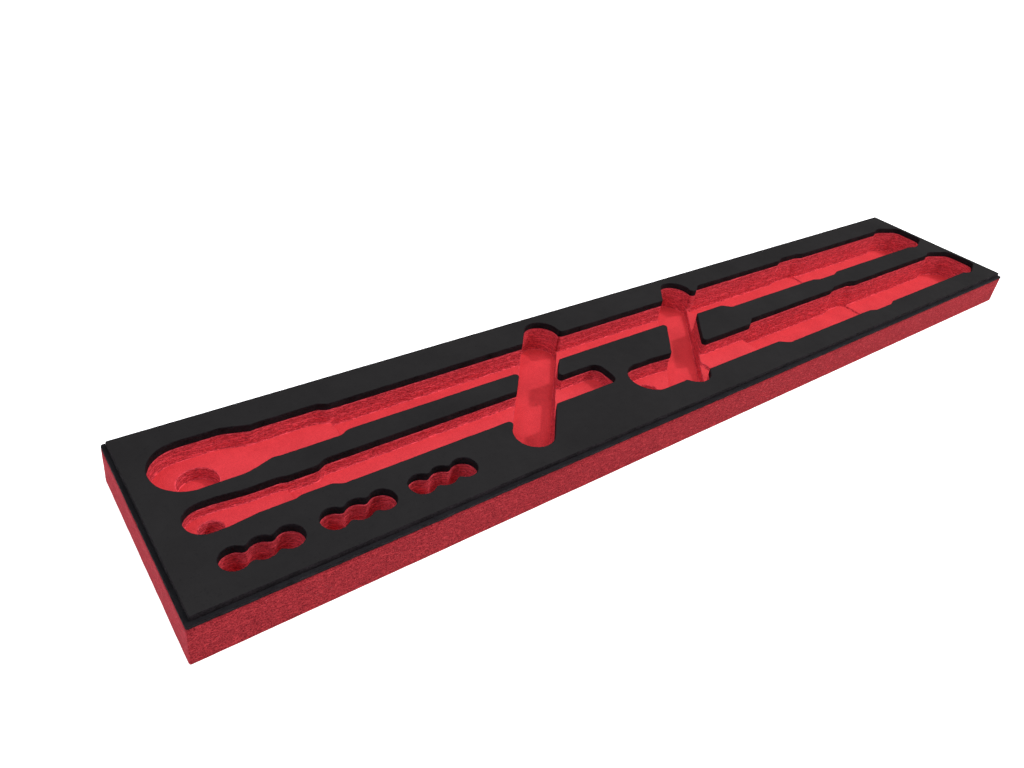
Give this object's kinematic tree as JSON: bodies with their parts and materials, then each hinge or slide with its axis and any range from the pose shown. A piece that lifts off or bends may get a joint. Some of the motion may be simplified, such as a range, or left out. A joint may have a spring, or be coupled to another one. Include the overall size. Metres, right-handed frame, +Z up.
{
  "type": "foam tool organizer",
  "caption": "Two-colour foam insert for a tool drawer, with routed pockets for long handled tools, slanted finger slots and round cell pockets",
  "frame": {"origin": "middle of the underside, on the surface that the insert lies on", "axes": "+X along the length, from the tools' heads to their handles; +Y from the edge with the round cell pockets to the long tool's side; +Z up, out of the pockets"},
  "size_m": [0.8, 0.143, 0.0302],
  "materials": {
    "red_foam": "matte",
    "adhesive_film": "satin",
    "black_foam": "matte"
  },
  "bodies": {
    "root": {"red_base_block": "red_foam", "bond_film": "adhesive_film", "black_top_sheet": "black_foam"}
  },
  "joints": []
}
